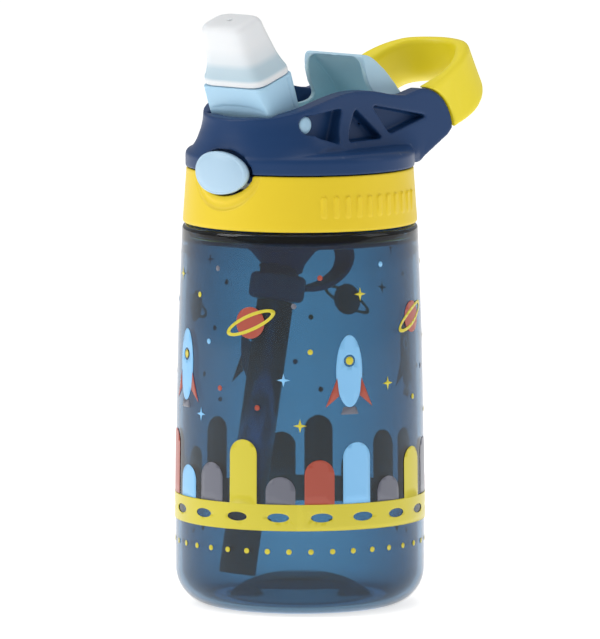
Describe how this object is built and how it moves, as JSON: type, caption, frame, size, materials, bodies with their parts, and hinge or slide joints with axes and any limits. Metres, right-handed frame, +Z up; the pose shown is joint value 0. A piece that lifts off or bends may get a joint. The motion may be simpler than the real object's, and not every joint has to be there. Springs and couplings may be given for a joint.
{
  "type": "children's straw water bottle",
  "caption": "Round translucent water bottle with a screw lid, fold-down soft spout, hinged spout cover, release button, inner straw and rear carry loop.",
  "frame": {"origin": "middle of the footprint at table height, between the front of the bottle and the back of the carry loop", "axes": "+Z up along the bottle, -Y towards the spout and the button, +Y towards the carry loop, +X to the right seen from the front"},
  "size_m": [0.073, 0.1051, 0.1747],
  "materials": {
    "clear_blue": "glossy translucent blue moulded plastic with a printed pattern",
    "navy": "satin navy moulded plastic",
    "yellow": "satin yellow moulded plastic",
    "loop_yellow": "satin lemon yellow moulded plastic",
    "sky": "satin pale blue moulded plastic",
    "cover_sky": "slightly translucent pale blue moulded plastic",
    "silicone": "milky translucent silicone",
    "straw": "clear plastic tube",
    "steel": "bright stainless spring wire and pins"
  },
  "bodies": {
    "bottle": {"bottle_body": "clear_blue"},
    "seal_ring": {"lid_gasket": "silicone"},
    "lid": {"screw_collar": "yellow", "lid_base": "navy", "lid_shell": "navy", "carry_loop": "loop_yellow", "flow_tube": "navy", "spout_seat_seal": "silicone", "spout_pin_left": "sky", "spout_pin_right": "sky", "spout_spring": "steel", "cover_pin_left": "steel", "cover_pin_right": "steel", "cover_spring": "steel", "button_spring": "steel", "straw_connector": "navy", "straw_tube": "straw", "vent_valve": "silicone", "vent_tether": "silicone"},
    "spout": {"spout_base": "sky", "spout_mouthpiece": "silicone"},
    "cover": {"flip_cover": "cover_sky"},
    "button": {"button_cap": "sky", "latch_slider": "navy"}
  },
  "joints": [
    {"name": "lid_rise", "type": "slide", "parent": "bottle", "child": "seal_ring", "axis": [0, 0, 1], "range_m": [0, 0.01]},
    {"name": "lid_turn", "type": "hinge", "parent": "seal_ring", "child": "lid", "pos_m": [0, -0.0163, 0.12], "axis": [0, 0, 1], "range_deg": [0, 450]},
    {"name": "spout_fold", "type": "hinge", "parent": "lid", "child": "spout", "pos_m": [0, -0.0337, 0.1428], "axis": [-1, 0, 0], "range_deg": [0, 100], "stiffness_Nm_per_rad": 0.02, "springref_deg": -17.19, "deforming": ["spout_spring"]},
    {"name": "cover_flip", "type": "hinge", "parent": "lid", "child": "cover", "pos_m": [0, -0.0081, 0.1428], "axis": [1, 0, 0], "range_deg": [0, 68], "stiffness_Nm_per_rad": 0.01, "springref_deg": -17.19, "deforming": ["cover_spring"]},
    {"name": "button_press", "type": "slide", "parent": "lid", "child": "button", "axis": [0, 1, 0], "range_m": [0, 0.0015], "stiffness_N_per_m": 800, "deforming": ["button_spring"]}
  ],
  "couplings": [
    {"joint": "lid_rise", "follows": "lid_turn", "m_per_rad": 0.0012732}
  ]
}
